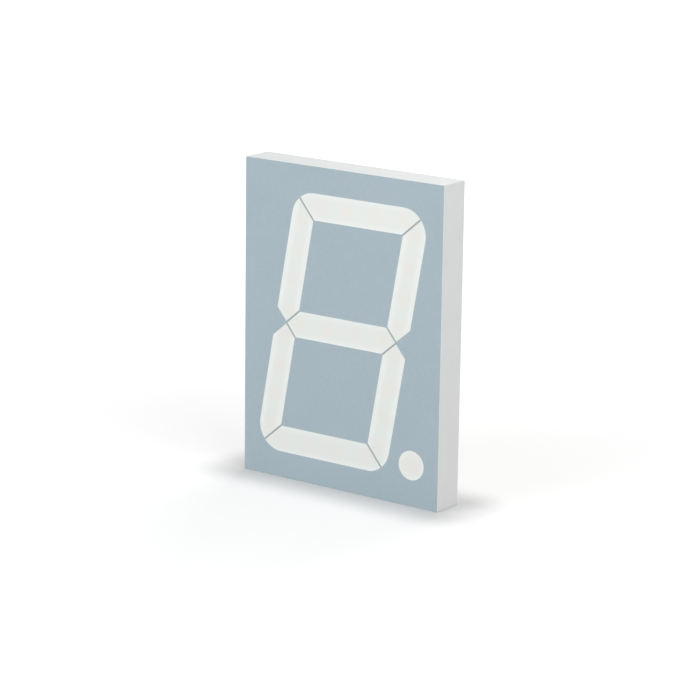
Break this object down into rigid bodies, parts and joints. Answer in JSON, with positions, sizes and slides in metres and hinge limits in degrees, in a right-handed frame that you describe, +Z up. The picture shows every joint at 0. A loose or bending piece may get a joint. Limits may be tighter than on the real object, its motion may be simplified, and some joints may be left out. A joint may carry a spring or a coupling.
{
  "type": "seven segment display",
  "caption": "Numeric display block: a thin white moulding with a grey face, milky slanted light segments, a round decimal point and rows of connection pins at the back.",
  "frame": {"origin": "middle of the lower edge, halfway through the depth of the moulded body", "axes": "+Z up along the height of the digit, +Y from the face towards the pins, +X to the right seen from the front"},
  "size_m": [0.09, 0.0182, 0.122],
  "materials": {
    "white_plastic": "white moulded plastic, fine satin grain",
    "grey_ink": "grey screen-printed coat, matt",
    "milky_resin": "milky cast resin that scatters light, soft gloss",
    "sealing_resin": "cast resin, cloudy, glossy where it set",
    "board_laminate": "glass-fibre laminate under green lacquer",
    "copper": "bare copper foil",
    "chip_crystal": "bare crystal chip",
    "gold_wire": "drawn gold wire",
    "tinned_metal": "tin plated, dull bright",
    "solder": "solder, bright"
  },
  "bodies": {
    "root": {"reflector_housing": "white_plastic", "face_print": "grey_ink", "circuit_board": "board_laminate", "copper_lands": "copper", "rear_resin": "sealing_resin", "solder_joints": "solder", "segment_a": "milky_resin", "segment_b": "milky_resin", "segment_c": "milky_resin", "segment_d": "milky_resin", "segment_e": "milky_resin", "segment_f": "milky_resin", "segment_g": "milky_resin", "decimal_point": "milky_resin", "led_chips_a": "chip_crystal", "bond_wires_a": "gold_wire", "led_chips_b": "chip_crystal", "bond_wires_b": "gold_wire", "led_chips_c": "chip_crystal", "bond_wires_c": "gold_wire", "led_chips_d": "chip_crystal", "bond_wires_d": "gold_wire", "led_chips_e": "chip_crystal", "bond_wires_e": "gold_wire", "led_chips_f": "chip_crystal", "bond_wires_f": "gold_wire", "led_chips_g": "chip_crystal", "bond_wires_g": "gold_wire", "led_chips_point": "chip_crystal", "bond_wires_point": "gold_wire", "pin_1": "tinned_metal", "pin_2": "tinned_metal", "pin_3": "tinned_metal", "pin_4": "tinned_metal", "pin_5": "tinned_metal", "pin_6": "tinned_metal", "pin_7": "tinned_metal", "pin_8": "tinned_metal", "pin_9": "tinned_metal", "pin_10": "tinned_metal"}
  },
  "joints": []
}
